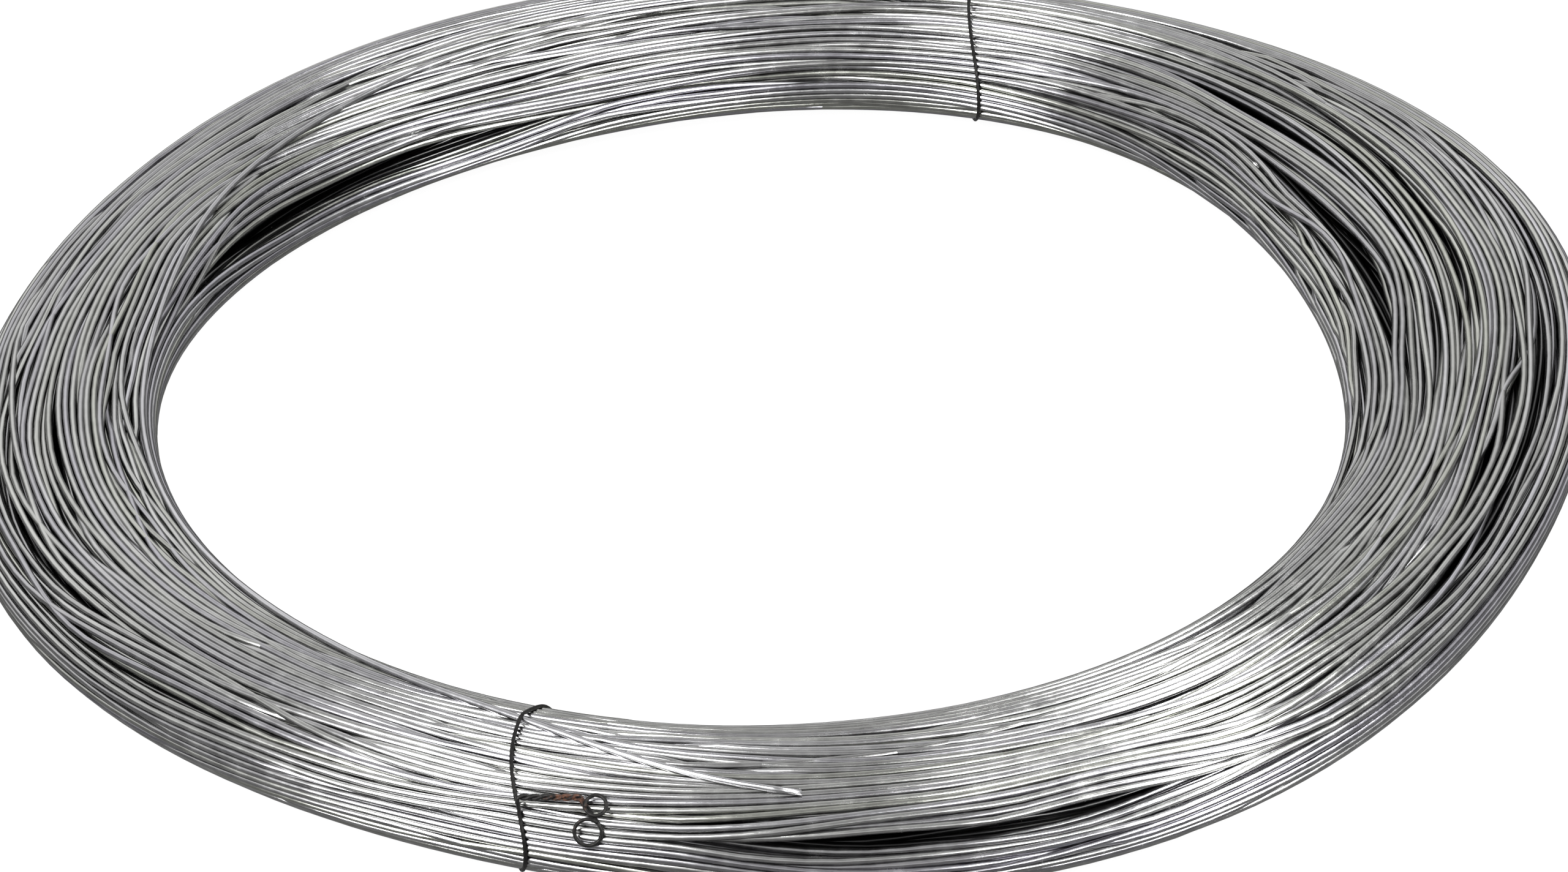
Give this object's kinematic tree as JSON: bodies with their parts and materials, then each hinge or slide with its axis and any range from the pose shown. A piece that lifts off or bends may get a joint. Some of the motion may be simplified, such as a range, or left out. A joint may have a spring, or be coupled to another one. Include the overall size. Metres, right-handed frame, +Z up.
{
  "type": "coil of drawn wire",
  "caption": "Flat-lying ring coil of bright galvanised steel wire, bound by two twisted tie wires, with an open bore that drops over a pay-off stand.",
  "frame": {"origin": "on the floor under the centre of the coil's bore", "axes": "+Z up along the bore, -Y towards the camera of the picture, +X to its right"},
  "size_m": [0.6, 0.5999, 0.0433],
  "materials": {
    "galvanised_wire": "drawn and galvanised, satin to bright",
    "tie_wire": "annealed, dark and dull, with a little rust at the twist"
  },
  "bodies": {
    "root": {"wire_coil": "galvanised_wire", "tie_wire_front": "tie_wire", "tie_wire_back": "tie_wire"}
  },
  "joints": []
}
